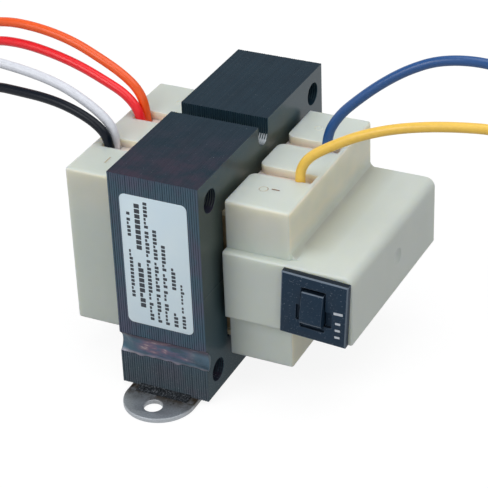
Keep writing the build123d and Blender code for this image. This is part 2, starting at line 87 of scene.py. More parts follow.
def pick(piece, kind, test):
    """Selects those edges or faces of an open mesh that pass the test"""
    bpy.ops.mesh.select_mode(type=kind)
    bpy.ops.mesh.select_all(action="DESELECT")
    mesh = bmesh.from_edit_mesh(piece.data)
    for element in {"EDGE": mesh.edges, "FACE": mesh.faces}[kind]:
        if test(element):
            element.select_set(True)
    bmesh.update_edit_mesh(piece.data)


def colour(code):
    """An sRGB hex colour as linear RGBA"""
    parts = [int(code[i:i + 2], 16) / 255 for i in (1, 3, 5)]
    return [part / 12.92 if part <= 0.04045 else ((part + 0.055) / 1.055) ** 2.4 for part in parts] + [1]


def add(tree, kind, sockets, **settings):
    """Adds a node and sets its sockets, each to a value, to an output or to a node's first output in use.
    A colour Mix has its factor at socket 0 and its two colours at 6 and 7"""
    node = tree.nodes.new("ShaderNode" + kind)
    for name, value in settings.items():
        setattr(node, name, value)
    for name, value in sockets.items():
        if isinstance(value, bpy.types.Node):
            value = next(output for output in value.outputs if output.enabled)
        if isinstance(value, bpy.types.NodeSocket):
            tree.links.new(value, node.inputs[name])
        else:
            node.inputs[name].default_value = value
    return node


def new_finish(name):
    """An empty material, its node tree and the Object coordinates in it"""
    finish = bpy.data.materials.new(name)
    finish.use_nodes = True
    finish.node_tree.nodes.clear()
    place = add(finish.node_tree, "TexCoord", {}).outputs["Object"]
    return finish, finish.node_tree, place


sheet_count = 39
sheet_gap = 0.03 * mm
sheet_burr = 0.16 * mm
sheet_stray = 0.02 * mm
e_low, e_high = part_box("e_lamination_stack")
sheet_pitch = (e_high.x - e_low.x) / sheet_count
core_middle = Vector((0, 0, (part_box("i_lamination_stack")[0].z + e_high.z) / 2))

# Baked varnish on silicon steel: blue-black, purpler at the front where it ran thicker, glossy on the
# flat end sheets, thin and paler on the cut edges front and rear, and browned low down by the welding.
# Beside the coil the flat end sheets are painted lighter and warmer, a painted reflection of the covers,
# and the last sheets at the bottom of the top slot are bare, bright steel where their glints show, a
# painted glint.
core_varnish, tree, place = new_finish("baked_core_varnish")
patch_width = 9 * mm
grit_width = 0.35 * mm
slot_y = 1.2 * mm
slot_half_width = 1.7 * mm
slot_bottom = e_high.z - 5.8 * mm
glint_half_height = 1.4 * mm
glint_full = 3.3 * mm
glint_end = 3.9 * mm
cut_edge_depth = 2 * mm
patches = add(tree, "TexNoise", {"Vector": place, "Scale": 1 / patch_width, "Detail": 5, "Roughness": 0.6})
grit = add(tree, "TexNoise", {"Vector": place, "Scale": 1 / grit_width, "Detail": 2})
spot = add(tree, "SeparateXYZ", {"Vector": place})
sheet_number = add(tree, "Math", {0: spot.outputs["X"], 1: sheet_pitch}, operation="DIVIDE")
sheet_number = add(tree, "Math", {0: sheet_number}, operation="FLOOR")
sheet_tone = add(tree, "TexWhiteNoise", {"W": sheet_number}, noise_dimensions="1D")
slate = add(tree, "Mix", {0: patches, 6: colour("#102432"), 7: colour("#1c3340")}, data_type="RGBA")
to_front = add(tree, "MapRange", {"Value": spot.outputs["Y"], "From Min": -5 * mm, "From Max": e_low.y})
ran = add(tree, "MapRange", {"Value": patches, "From Min": 0.38, "From Max": 0.6})
ran = add(tree, "Math", {0: to_front, 1: ran}, operation="MULTIPLY")
tinted = add(tree, "Mix", {0: ran, 6: slate, 7: colour("#382f3f")}, data_type="RGBA")
per_sheet = add(tree, "MapRange", {"Value": sheet_tone.outputs["Value"], "To Min": 0.93, "To Max": 1.07})
facing = add(tree, "SeparateXYZ", {"Vector": add(tree, "NewGeometry", {}).outputs["True Normal"]})
flat = add(tree, "Math", {0: facing.outputs["X"]}, operation="ABSOLUTE")
edge_on = add(tree, "Math", {0: flat, 1: 0.3}, operation="LESS_THAN")
# painted reflection of the covers: beside the coil the flat end sheets are painted lighter and warmer
over_low = add(tree, "MapRange", {"Value": spot.outputs["Z"], "From Min": 18 * mm, "From Max": 52 * mm})
under_top = add(tree, "MapRange", {"Value": spot.outputs["Z"], "From Min": 71 * mm, "From Max": 65 * mm})
painted_reflection_mask = add(tree, "MapRange", {"Value": spot.outputs["Y"], "From Min": 23 * mm, "From Max": 14 * mm})
for limit in (over_low, under_top):
    painted_reflection_mask = add(tree, "Math", {0: painted_reflection_mask, 1: limit}, operation="MULTIPLY")
painted_cover_reflection = add(tree, "Mix", {0: painted_reflection_mask, 6: colour("#2c434d"), 7: colour("#454f4c")}, data_type="RGBA")
tinted = add(tree, "Mix", {0: edge_on, 6: painted_cover_reflection, 7: tinted}, data_type="RGBA")
endwise = add(tree, "Math", {0: facing.outputs["Y"]}, operation="ABSOLUTE")
endwise = add(tree, "MapRange", {"Value": endwise, "From Min": 0.3, "From Max": 0.95})
outward = add(tree, "Math", {0: spot.outputs["Y"]}, operation="ABSOLUTE")
outward = add(tree, "Math", {0: outward, 1: e_high.y - cut_edge_depth}, operation="GREATER_THAN")
endwise = add(tree, "Math", {0: endwise, 1: outward}, operation="MULTIPLY")
browned = add(tree, "MapRange", {
    "Value": spot.outputs["Z"], "From Min": 20 * mm, "From Max": 8 * mm, "To Max": 0.5})
blotches = add(tree, "MapRange", {"Value": patches, "From Min": 0.42, "From Max": 0.62})
bare_edge = add(tree, "Mix", {0: blotches, 6: colour("#536a7a"), 7: colour("#606478")}, data_type="RGBA")
cut_edge = add(tree, "Mix", {0: browned, 6: bare_edge, 7: colour("#575a58")}, data_type="RGBA")
edged = add(tree, "Mix", {0: endwise, 6: tinted, 7: cut_edge}, data_type="RGBA")
varied = add(tree, "VectorMath", {0: edged, "Scale": per_sheet}, operation="SCALE")
gloss = add(tree, "MapRange", {"Value": flat, "From Min": 0.8, "From Max": 1, "To Min": 0.5, "To Max": 0.24})
# painted glint: the last sheets at the bottom of the top slot are bare, bright steel where their glints show
bare_glint = add(tree, "Math", {0: spot.outputs["Y"], 1: slot_y, 2: slot_half_width}, operation="COMPARE")
at_bottom = add(tree, "Math", {0: spot.outputs["Z"], 1: slot_bottom, 2: glint_half_height}, operation="COMPARE")
last_sheets = add(tree, "MapRange", {
    "Value": spot.outputs["X"], "From Min": e_high.x - glint_end, "From Max": e_high.x - glint_full})
for limit in (at_bottom, last_sheets, edge_on):
    bare_glint = add(tree, "Math", {0: bare_glint, 1: limit}, operation="MULTIPLY")
settled = add(tree, "Math", {0: browned, 1: 0.16, 2: grit}, operation="MULTIPLY_ADD")
dust = add(tree, "MapRange", {"Value": settled, "From Min": 0.71, "From Max": 0.77, "To Max": 0.5})
dusty = add(tree, "Mix", {0: dust, 6: varied, 7: colour("#8d979e")}, data_type="RGBA")
tone = add(tree, "Mix", {0: bare_glint, 6: dusty, 7: colour("#bcc3c8")}, data_type="RGBA")
dulled = add(tree, "MapRange", {
    "Value": spot.outputs["Z"], "From Min": 40 * mm, "From Max": 12 * mm, "To Max": 0.3})
gloss = add(tree, "Math", {0: gloss, 1: dulled}, operation="ADD")
bump = add(tree, "Bump", {"Height": grit, "Strength": 0.15, "Distance": 0.03 * mm})
coat = add(tree, "MapRange", {"Value": flat, "From Min": 0.8, "From Max": 1, "To Max": 0.2})
shader = add(tree, "BsdfPrincipled", {
    "Base Color": tone, "Roughness": gloss, "Metallic": bare_glint, "Normal": bump, "IOR": 1.5,
    "Specular IOR Level": 0.15, "Coat Weight": coat, "Coat Roughness": 0.2})
add(tree, "OutputMaterial", {"Surface": shader})

draw = Random(39)
for node, name in (("e_lamination_stack", "e_sheets"), ("i_lamination_stack", "i_sheets")):
    sheets = from_frame(node, name)
    pick(sheets, "FACE", lambda face: face.normal.x < 0.99)
    bpy.ops.mesh.delete(type="FACE")
    bpy.ops.mesh.select_all(action="SELECT")
    bpy.ops.mesh.extrude_region_move(TRANSFORM_OT_translate={"value": (sheet_gap - sheet_pitch, 0, 0)})
    bpy.ops.mesh.select_all(action="SELECT")
    bpy.ops.mesh.normals_make_consistent(inside=False)
    # the burr is broken only round the edges that face the front and the rear, where it shows
    pick(sheets, "EDGE", lambda edge: len({round(face.normal.y) for face in edge.link_faces}) == 2
         and abs(edge.verts[0].co.x - edge.verts[1].co.x) < sheet_gap)
    bpy.ops.mesh.bevel(offset=sheet_burr, segments=1, affect="EDGES", clamp_overlap=False)
    bpy.ops.object.mode_set(mode="OBJECT")
    stack = sheets.modifiers.new("stack", "ARRAY")
    stack.count = sheet_count
    stack.use_relative_offset = False
    stack.use_constant_offset = True
    stack.constant_offset_displace = (-sheet_pitch, 0, 0)
    bpy.ops.object.modifier_apply(modifier=stack.name)
    strays = [Vector((0, draw.uniform(-1, 1), draw.uniform(-1, 1))) * sheet_stray for _ in range(sheet_count)]
    for vertex in sheets.data.vertices:
        vertex.co += strays[min(sheet_count - 1, int((e_high.x - vertex.co.x) / sheet_pitch))]
    bpy.ops.object.shade_smooth_by_angle(angle=radians(30))
    sheets.data.materials.append(core_varnish)
    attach(sheets, "transformer")
    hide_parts(node)


# Core welds: one bead in the groove at each end where the E sheets meet the I sheets, run without
# filler. The puddle freezes in shallow crescents and its toes wander over the sheets' edges. The run
# starts thin at the left, in the bottom of the groove, and swells at the right, where it stops.
def weld_bead(name, node, low_x, high_x, face, root, lift, pitch, ripple, toe, roughness, swell, wander, taper):
    """A closed bead along X. face and root give its front and back at t, which goes from -1 to 1"""
    steps_a_ripple, rows, bow = 6, 22, 0.9
    lump_length, toe_length, wander_length = 2.5 * mm, 1.6 * mm, 3 * mm
    toe_place, toe_width = 0.9, 0.12
    blunt_start, stop_share = 0.1, 0.12
    steps = int(steps_a_ripple * (high_x - low_x) / pitch)
    bpy.ops.mesh.primitive_grid_add(x_subdivisions=steps, y_subdivisions=rows, size=2)
    bead = bpy.context.object
    bead.name = name
    bpy.ops.object.mode_set(mode="EDIT")
    bpy.ops.mesh.select_all(action="SELECT")
    bpy.ops.mesh.extrude_region_move(TRANSFORM_OT_translate={"value": (0, 0, -1)})
    bpy.ops.object.mode_set(mode="OBJECT")
    for vertex in bead.data.vertices:
        u = (vertex.co.x + 1) / 2
        x = low_x + u * (high_x - low_x)
        t = vertex.co.y
        back = Vector((x, *root(t)))
        if vertex.co.z < -0.5:
            vertex.co = back
        else:
            crescent = 0.5 + 0.5 * cos(2 * pi * (x / pitch + bow * t * t))
            rough = noise.noise(Vector((x / lump_length, 1.2 * t, pitch / mm)))
            edge = exp(-((abs(t) - toe_place) / toe_width) ** 2)
            edge *= 0.6 + 0.6 * noise.noise(Vector((x / toe_length, 3 * t, 3)))
            stop = exp(-((1 - u) / stop_share) ** 2)
            rise = ripple * crescent * (1 - t * t) + toe * edge + roughness * rough * (1 - t ** 4)
            rise += swell * stop * (1 - t * t)
            drift = wander * abs(t) ** 3 * noise.noise(Vector((x / wander_length, 2 * t, 8)))
            front = Vector((x + swell * stop * u * (1 - t * t), *face(t))) + lift * rise + Vector((0, 0, drift))
            filled = min(1, blunt_start + u / taper)
            vertex.co = back.lerp(front, filled * filled * (3 - 2 * filled))
    only(bead)
    bpy.ops.object.mode_set(mode="EDIT")
    bpy.ops.mesh.select_all(action="SELECT")
    bpy.ops.mesh.remove_doubles(threshold=0.001 * mm)
    bpy.ops.mesh.normals_make_consistent(inside=False)
    bpy.ops.object.mode_set(mode="OBJECT")
    bpy.ops.object.shade_smooth_by_angle(angle=radians(60))
    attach(bead, "transformer")
    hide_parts(node)
    return bead


# Fused steel: bare, under thin oxides in streaks of slate, violet and dusty rose along the run,
# plain slate at both ends, burnt along the upper toe and pale along the lower one.
weld_metal, tree, place = new_finish("heat_tinted_weld")
tint_width = 1.6 * mm
along = add(tree, "Mapping", {"Vector": place, "Scale": (0.22, 1, 1)})
tint = add(tree, "TexNoise", {"Vector": along, "Scale": 1 / tint_width, "Detail": 3, "Roughness": 0.55})
oxides = add(tree, "ValToRGB", {"Fac": tint})
for position, code in ((0.34, "#3f5360"), (0.44, "#4d5d73"), (0.51, "#5c5d74"), (0.57, "#6f6074"),
                       (0.62, "#8a7682"), (0.67, "#aaa2a2")):
    oxides.color_ramp.elements.new(position).color = colour(code)
for stop in (oxides.color_ramp.elements[0], oxides.color_ramp.elements[-1]):
    stop.color = colour("#49636f")
run = add(tree, "SeparateXYZ", {"Vector": place})
ends = add(tree, "Math", {0: run.outputs["X"]}, operation="ABSOLUTE")
ends = add(tree, "MapRange", {"Value": ends, "From Min": 6 * mm, "From Max": 11 * mm, "To Max": 0.9})
plain = add(tree, "Mix", {0: ends, 6: oxides, 7: colour("#476373")}, data_type="RGBA")
weld_low, weld_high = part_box("front_weld")
upper_toe = add(tree, "MapRange", {
    "Value": run.outputs["Z"], "To Max": 0.8,
    "From Min": weld_high.z - 1.4 * mm, "From Max": weld_high.z - 0.2 * mm})
burnt = add(tree, "Mix", {0: upper_toe, 6: plain, 7: colour("#43343c")}, data_type="RGBA")
lower_toe = add(tree, "MapRange", {
    "Value": run.outputs["Z"], "To Max": 0.8,
    "From Min": weld_low.z + 0.9 * mm, "From Max": weld_low.z + 0.4 * mm})
lower_toe = add(tree, "Math", {0: lower_toe, 1: tint}, operation="MULTIPLY")
tone = add(tree, "Mix", {0: lower_toe, 6: burnt, 7: colour("#a79da4")}, data_type="RGBA")
bump = add(tree, "Bump", {"Height": tint, "Strength": 0.5, "Distance": 0.4 * mm})
shader = add(tree, "BsdfPrincipled", {
    "Base Color": tone, "Metallic": 0.55, "Roughness": 0.38, "Normal": bump})
add(tree, "OutputMaterial", {"Surface": shader})

groove_radius = 4.05 * mm
groove_standoff = 2.35 * mm
bead_crown = 0.1 * mm
bead_gap = 0.1 * mm
bead_lead_in = 3.2 * mm
for side, node in ((-1, "front_weld"), (1, "rear_weld")):
    low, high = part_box(node)
    middle_z = (low.z + high.z) / 2
    half_height = (high.z - low.z) / 2
    bead = weld_bead(
        node + "_bead", node, low.x - bead_lead_in, high.x,
        face=lambda t: (side * (e_high.y + bead_crown * (1 - t * t)), middle_z + t * half_height),
        root=lambda t: (side * (e_high.y + groove_standoff + bead_gap
                                - (groove_radius ** 2 - (t * half_height) ** 2) ** 0.5),
                        middle_z + t * half_height),
        lift=Vector((0, side, 0)), pitch=1.6 * mm, ripple=0.06 * mm, toe=0.2 * mm, roughness=0.2 * mm,
        swell=0.8 * mm, wander=0.7 * mm, taper=0.2)
    bead.data.materials.append(weld_metal)


# Foot: a strap of mild steel with round ends and a punched hole in each, under the core, with its
# edges rolled over slightly by the press.
def round_edges(piece, width, segments):
    """Rounds the sharp edges of a piece that is open in edit mode, and closes it"""
    bpy.ops.object.mode_set(mode="OBJECT")
    edges = piece.modifiers.new("edges", "BEVEL")
    edges.width = width
    edges.segments = segments
    edges.limit_method = "ANGLE"
    edges.angle_limit = radians(35)
    edges.use_clamp_overlap = False
    bpy.ops.object.modifier_apply(modifier=edges.name)
    bpy.ops.object.shade_smooth_by_angle(angle=radians(40))


# Cold-rolled mild steel: grey with a soft sheen and clouded brown where the weld's heat reached it.
# The strap's rounded edges and sheared sides are painted paler, a painted highlight.
foot_steel, tree, place = new_finish("rolled_mild_steel")
cloud_width = 3 * mm
scuff_width = 0.5 * mm
clouds = add(tree, "TexNoise", {"Vector": place, "Scale": 1 / cloud_width, "Detail": 6, "Roughness": 0.65})
scuffs = add(tree, "TexNoise", {"Vector": place, "Scale": 1 / scuff_width, "Detail": 3})
grey = add(tree, "Mix", {0: scuffs, 6: colour("#7c828a"), 7: colour("#c2c7cc")}, data_type="RGBA")
along = add(tree, "SeparateXYZ", {"Vector": place})
reach = add(tree, "Math", {0: along.outputs["Y"]}, operation="ABSOLUTE")
near_weld = add(tree, "MapRange", {
    "Value": reach, "From Min": e_high.y + 8 * mm, "From Max": e_high.y + 1 * mm, "To Max": 1.4})
mottling = add(tree, "MapRange", {"Value": clouds, "From Min": 0.32, "From Max": 0.58})
stain = add(tree, "Math", {0: near_weld, 1: mottling}, operation="MULTIPLY", use_clamp=True)
stained = add(tree, "Mix", {0: stain, 6: grey, 7: colour("#584d40")}, data_type="RGBA")
facing = add(tree, "SeparateXYZ", {"Vector": add(tree, "NewGeometry", {}).outputs["True Normal"]})
# painted highlight: faces that turn away from straight up, the strap's rounded edges and sides, are painted
# paler
painted_rim_highlight = add(tree, "MapRange", {"Value": facing.outputs["Z"], "From Min": 0.9, "From Max": 0.6, "To Max": 0.4})
tone = add(tree, "Mix", {0: painted_rim_highlight, 6: stained, 7: colour("#ced2d6")}, data_type="RGBA")
gloss = add(tree, "MapRange", {"Value": clouds, "To Min": 0.32, "To Max": 0.55})
bump = add(tree, "Bump", {"Height": scuffs, "Strength": 0.2, "Distance": 0.03 * mm})
shader = add(tree, "BsdfPrincipled", {
    "Base Color": tone, "Metallic": 0.75, "Roughness": gloss, "Normal": bump})
add(tree, "OutputMaterial", {"Surface": shader})

foot_strap = from_frame("mounting_foot", "foot_strap")
round_edges(foot_strap, width=0.35 * mm, segments=3)
foot_strap.data.materials.append(foot_steel)
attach(foot_strap, "transformer")
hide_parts("mounting_foot")


# Foot welds: a short, thin bead of added metal at each end of the core, sooty and lumpy, with drops
# of spatter stuck to the strap beside it.
soot_metal, tree, place = new_finish("sooty_weld")
soot_width = 0.4 * mm
soot = add(tree, "TexNoise", {"Vector": place, "Scale": 1 / soot_width, "Detail": 3})
drops = add(tree, "MapRange", {"Value": soot, "From Min": 0.5, "From Max": 0.8})
tone = add(tree, "Mix", {0: drops, 6: colour("#1f2328"), 7: colour("#8d9399")}, data_type="RGBA")
shader = add(tree, "BsdfPrincipled", {"Base Color": tone, "Metallic": 0.5, "Roughness": 0.4})
add(tree, "OutputMaterial", {"Surface": shader})

low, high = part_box("foot_welds")
leg_height = high.z - low.z
leg_width = high.y - e_high.y
for side, name in ((-1, "front_foot_bead"), (1, "rear_foot_bead")):
    bead = weld_bead(
        name, "foot_welds", low.x, high.x,
        face=lambda t: (side * (e_high.y + leg_width * (1 + t) / 2), low.z + leg_height * ((1 - t) / 2) ** 1.6),
        root=lambda t: (side * e_high.y if t < 0 else side * (e_high.y + leg_width * t),
                        low.z - leg_height * t if t < 0 else low.z),
        lift=Vector((0, 0.3 * side, 1)), pitch=1.1 * mm, ripple=0.1 * mm, toe=0, roughness=0.16 * mm,
        swell=0, wander=0, taper=0.02)
    bead.data.materials.append(soot_metal)

spatter_count = 110
spatter_start = 0.6 * leg_width
spatter_reach = 4 * mm
spatter_crowding = 2.5
spatter_flatness = 0.7
drop_radii = (0.08, 0.24)
foot_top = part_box("mounting_foot")[1].z
draw = Random(12)
bpy.ops.mesh.primitive_uv_sphere_add(
    segments=8, ring_count=5, radius=0.1 * mm, location=(0, e_low.y - leg_width, foot_top))
spatter = bpy.context.object
spatter.name = "foot_spatter"
bpy.ops.object.transform_apply(location=True)
bpy.ops.object.mode_set(mode="EDIT")
for _ in range(spatter_count):
    side = draw.choice((-1, 1))
    away = spatter_start + spatter_reach * draw.random() ** spatter_crowding
    spot = Vector((draw.uniform(low.x, high.x), side * (e_high.y + away), foot_top))
    size = draw.uniform(*drop_radii) * mm
    bpy.ops.mesh.primitive_uv_sphere_add(segments=8, ring_count=5, radius=size, location=spot)
bpy.ops.mesh.select_all(action="SELECT")
bpy.ops.transform.resize(value=(1, 1, spatter_flatness), center_override=(0, 0, foot_top))
bpy.ops.object.mode_set(mode="OBJECT")
bpy.ops.object.shade_smooth()
spatter.data.materials.append(soot_metal)
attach(spatter, "transformer")


# Bobbin: a spool with two winding sections, moulded in natural nylon, that fits over the core's
# centre leg. Only the edges of its flanges show, between the core and the covers.
bobbin_nylon, tree, place = new_finish("moulded_bobbin_nylon")
mottle_width = 6 * mm
mottle = add(tree, "TexNoise", {"Vector": place, "Scale": 1 / mottle_width, "Detail": 3})
tone = add(tree, "Mix", {0: mottle, 6: colour("#b7aa8a"), 7: colour("#cfc6ae")}, data_type="RGBA")
shader = add(tree, "BsdfPrincipled", {
    "Base Color": tone, "Roughness": 0.42, "IOR": 1.53, "Subsurface Weight": 0.3,
    "Subsurface Radius": (1, 0.8, 0.5), "Subsurface Scale": 1.5 * mm})
add(tree, "OutputMaterial", {"Surface": shader})
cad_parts["bobbin"].data.materials[0] = bobbin_nylon


# Windings: layers of enamelled copper wire on the two sections of the bobbin, the primary below
# and the secondary above, so the turns lie flat and show as fine ridges one above the other.
magnet_wire, tree, place = new_finish("enamelled_copper_wire")
wire_pitch = 0.5 * mm
wave_radians_a_metre = 20
turns = add(tree, "TexWave", {
    "Vector": place, "Scale": 2 * pi / wave_radians_a_metre / wire_pitch}, bands_direction="Z")
tone = add(tree, "Mix", {0: turns.outputs["Fac"], 6: colour("#6b3417"), 7: colour("#b5672f")}, data_type="RGBA")
bump = add(tree, "Bump", {"Height": turns.outputs["Fac"], "Strength": 0.6, "Distance": 0.2 * mm})
shader = add(tree, "BsdfPrincipled", {
    "Base Color": tone, "Metallic": 0.7, "Roughness": 0.3, "Normal": bump, "Coat Weight": 0.5})
add(tree, "OutputMaterial", {"Surface": shader})
for node in ("primary_winding", "secondary_winding"):
    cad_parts[node].data.materials[0] = magnet_wire


# Tape: two turns of tan insulating tape round each winding, creased where it goes over the wire.
# It shows as a warm strip between the core and the rims of the covers.
coil_tape, tree, place = new_finish("varnished_coil_tape")
crease_width = 3 * mm
creases = add(tree, "TexNoise", {"Vector": place, "Scale": 1 / crease_width, "Detail": 4, "Distortion": 0.6})
tone = add(tree, "Mix", {0: creases, 6: colour("#97825f"), 7: colour("#bda882")}, data_type="RGBA")
bump = add(tree, "Bump", {"Height": creases, "Strength": 0.3, "Distance": 0.2 * mm})
shader = add(tree, "BsdfPrincipled", {"Base Color": tone, "Roughness": 0.4, "Normal": bump})
add(tree, "OutputMaterial", {"Surface": shader})
for node in ("primary_wrap", "secondary_wrap"):
    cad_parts[node].data.materials[0] = coil_tape


# Coil covers: shells of natural nylon, moulded with lead channels across the top, pushed on from
# each side over the bobbin. The right one carries the breaker's housing. The moulds left a slit or
# a slot and pin rings on the pads, and a shallow dimple at the sprue in each outer face.
def cut(piece, cutter):
    """Takes a cutter's shape out of a piece and deletes the cutter"""
    only(piece)
    recess = piece.modifiers.new("recess", "BOOLEAN")
    recess.operation = "DIFFERENCE"
    recess.object = cutter
    bpy.ops.object.modifier_apply(modifier=recess.name)
    bpy.data.objects.remove(cutter)


def block(low, high):
    """A box between two corners, as a new object at the origin"""
    bpy.ops.mesh.primitive_cube_add(size=1, location=(low + high) / 2)
    made = bpy.context.object
    made.scale = high - low
    bpy.ops.object.transform_apply(location=True, rotation=True, scale=True)
    return made


def ring_tool(centre, radius, width):
    """A torus that scores a ring in a flat surface"""
    bpy.ops.mesh.primitive_torus_add(
        location=centre, major_radius=radius, minor_radius=width, major_segments=40, minor_segments=8)
    made = bpy.context.object
    bpy.ops.object.transform_apply(location=True, rotation=True, scale=True)
    return made


# Natural nylon: off-white, milky and satin, so light spreads a little way into it. The tape behind
# shows warm through the thin floors of the lead channels, which are also painted lighter, a painted
# light where they lie in shade. The outer walls above and below the housing are painted lighter and
# warmer, a painted bounce light with the tape showing through the thin walls, and the front faces are
# painted lighter towards the top, a painted light. The left cover is 5 % darker all over. The moulds'
# marks are scorched brown, and painted shade darkens the cove at the foot of the wall and the step
# beside it.
cover_nylon, tree, place = new_finish("moulded_natural_nylon")
mottle_width = 14 * mm
texture_width = 0.5 * mm
channel_floor = 60.65 * mm
channel_end = 34.6 * mm
channel_reach = 20 * mm
step_height = 48 * mm
housing_bottom = 25.7 * mm
cove_middle = step_height + 1.3 * mm
cove_half_height = 1.2 * mm
wall_foot = channel_end + 1.95 * mm
shade_start, shade_full = -27.5 * mm, -21 * mm
pad_x, pad_half_length = 25 * mm, 4 * mm
pad_y, pad_half_width = -21 * mm, 3 * mm
pad_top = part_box("primary_cover")[1].z
mottle = add(tree, "TexNoise", {"Vector": place, "Scale": 1 / mottle_width, "Detail": 3})
texture = add(tree, "TexNoise", {"Vector": place, "Scale": 1 / texture_width, "Detail": 2})
spot = add(tree, "SeparateXYZ", {"Vector": place})
# the left cover is 5 % darker all over than the right
left_darker = add(tree, "MapRange", {
    "Value": spot.outputs["X"], "From Min": -1 * mm, "From Max": 1 * mm, "To Min": 0.95})
milk = add(tree, "Mix", {0: mottle, 6: colour("#d3dcd1"), 7: colour("#dfe5da")}, data_type="RGBA")
milk = add(tree, "VectorMath", {0: milk, "Scale": left_darker}, operation="SCALE")
x_reach = add(tree, "Math", {0: spot.outputs["X"]}, operation="ABSOLUTE")
y_reach = add(tree, "Math", {0: spot.outputs["Y"]}, operation="ABSOLUTE")
# the channel floors are painted light and warm: the tape showing through the thin floor, and painted light
# where the channels lie in shade
warm = add(tree, "Math", {0: x_reach, 1: channel_end}, operation="LESS_THAN")
between = add(tree, "Math", {0: y_reach, 1: channel_reach}, operation="LESS_THAN")
above_floor = add(tree, "Math", {0: spot.outputs["Z"], 1: channel_floor - 1 * mm}, operation="GREATER_THAN")
low_down = add(tree, "MapRange", {
    "Value": spot.outputs["Z"], "To Max": 0.75,
    "From Min": channel_floor + 2.4 * mm, "From Max": channel_floor + 0.6 * mm})
for limit in (between, above_floor, low_down):
    warm = add(tree, "Math", {0: warm, 1: limit}, operation="MULTIPLY")
floored = add(tree, "Mix", {0: warm, 6: milk, 7: colour("#f8dccb")}, data_type="RGBA")
facing = add(tree, "SeparateXYZ", {"Vector": add(tree, "NewGeometry", {}).outputs["Normal"]})
# painted bounce light: the outer walls above and below the housing, and the front faces towards the top, are
# painted lighter and warmer
sideways = add(tree, "MapRange", {"Value": facing.outputs["X"], "From Min": 0.5, "From Max": 0.9})
above_step = add(tree, "MapRange", {
    "Value": spot.outputs["Z"], "From Min": step_height + 1 * mm, "From Max": step_height + 6 * mm})
below_housing = add(tree, "MapRange", {
    "Value": spot.outputs["Z"], "From Min": housing_bottom, "From Max": housing_bottom - 5 * mm})
lit_wall_heights = add(tree, "Math", {0: above_step, 1: below_housing}, operation="MAXIMUM")
painted_light_mask = add(tree, "Math", {0: sideways, 1: lit_wall_heights}, operation="MULTIPLY")
frontward = add(tree, "MapRange", {
    "Value": facing.outputs["Y"], "From Min": -0.5, "From Max": -0.9, "To Max": 0.5})
near_top = add(tree, "MapRange", {"Value": spot.outputs["Z"], "From Min": step_height, "From Max": pad_top})
painted_front_light = add(tree, "Math", {0: frontward, 1: near_top}, operation="MULTIPLY")
painted_light_mask = add(tree, "Math", {0: painted_light_mask, 1: painted_front_light}, operation="MAXIMUM")
uneven = add(tree, "MapRange", {"Value": mottle, "From Min": 0.35, "From Max": 0.6, "To Min": 0.75})
painted_light_mask = add(tree, "Math", {0: painted_light_mask, 1: uneven}, operation="MULTIPLY")
light_painted_tone = add(tree, "Mix", {0: painted_light_mask, 6: floored, 7: colour("#fff0d2")}, data_type="RGBA")
# painted shade: the cove at the foot of the wall, and the step beside the wall, are painted darker
in_cove = add(tree, "Math", {0: spot.outputs["Z"], 1: cove_middle, 2: cove_half_height}, operation="COMPARE")
painted_cove_shade = add(tree, "Math", {0: facing.outputs["X"], 1: facing.outputs["Z"]}, operation="MULTIPLY")
painted_cove_shade = add(tree, "Math", {0: painted_cove_shade, 1: in_cove}, operation="MULTIPLY", use_clamp=True)
painted_cove_shade = add(tree, "Math", {0: painted_cove_shade, 1: 0.8}, operation="MULTIPLY", use_clamp=True)
painted_wall_shade = add(tree, "MapRange", {
    "Value": spot.outputs["X"], "To Max": 0.55,
    "From Min": channel_end + 11 * mm, "From Max": channel_end + 2 * mm})
on_step = add(tree, "Math", {0: spot.outputs["Z"], 1: step_height, 2: 1 * mm}, operation="COMPARE")
beyond_wall = add(tree, "Math", {0: spot.outputs["X"], 1: wall_foot}, operation="GREATER_THAN")
behind_front = add(tree, "MapRange", {
    "Value": spot.outputs["Y"], "From Min": shade_start, "From Max": shade_full})
for limit in (on_step, beyond_wall, behind_front):
    painted_wall_shade = add(tree, "Math", {0: painted_wall_shade, 1: limit}, operation="MULTIPLY")
painted_cove_shade = add(tree, "Math", {0: painted_cove_shade, 1: painted_wall_shade}, operation="MAXIMUM")
painted_shade_tone = add(tree, "Mix", {0: painted_cove_shade, 6: light_painted_tone, 7: colour("#9c9481")}, data_type="RGBA")
marked = add(tree, "Math", {0: x_reach, 1: pad_x, 2: pad_half_length}, operation="COMPARE")
on_pad = add(tree, "Math", {0: spot.outputs["Y"], 1: pad_y, 2: pad_half_width}, operation="COMPARE")
sunk = add(tree, "MapRange", {
    "Value": spot.outputs["Z"], "From Min": pad_top - 0.02 * mm, "From Max": pad_top - 0.08 * mm})
shallow = add(tree, "Math", {0: spot.outputs["Z"], 1: pad_top - 1 * mm}, operation="GREATER_THAN")
scorch = add(tree, "MapRange", {
    "Value": spot.outputs["X"], "From Min": 21.5 * mm, "From Max": 25.4 * mm, "To Min": 0.35})
for limit in (on_pad, sunk, shallow, scorch):
    marked = add(tree, "Math", {0: marked, 1: limit}, operation="MULTIPLY")
tone = add(tree, "Mix", {0: marked, 6: painted_shade_tone, 7: colour("#8d6c4c")}, data_type="RGBA")
bump = add(tree, "Bump", {"Height": texture, "Strength": 0.12, "Distance": 0.03 * mm})
shader = add(tree, "BsdfPrincipled", {
    "Base Color": tone, "Roughness": 0.38, "IOR": 1.53, "Normal": bump,
    "Subsurface Weight": 0.85, "Subsurface Radius": (1, 0.92, 0.7), "Subsurface Scale": 5 * mm})
add(tree, "OutputMaterial", {"Surface": shader})

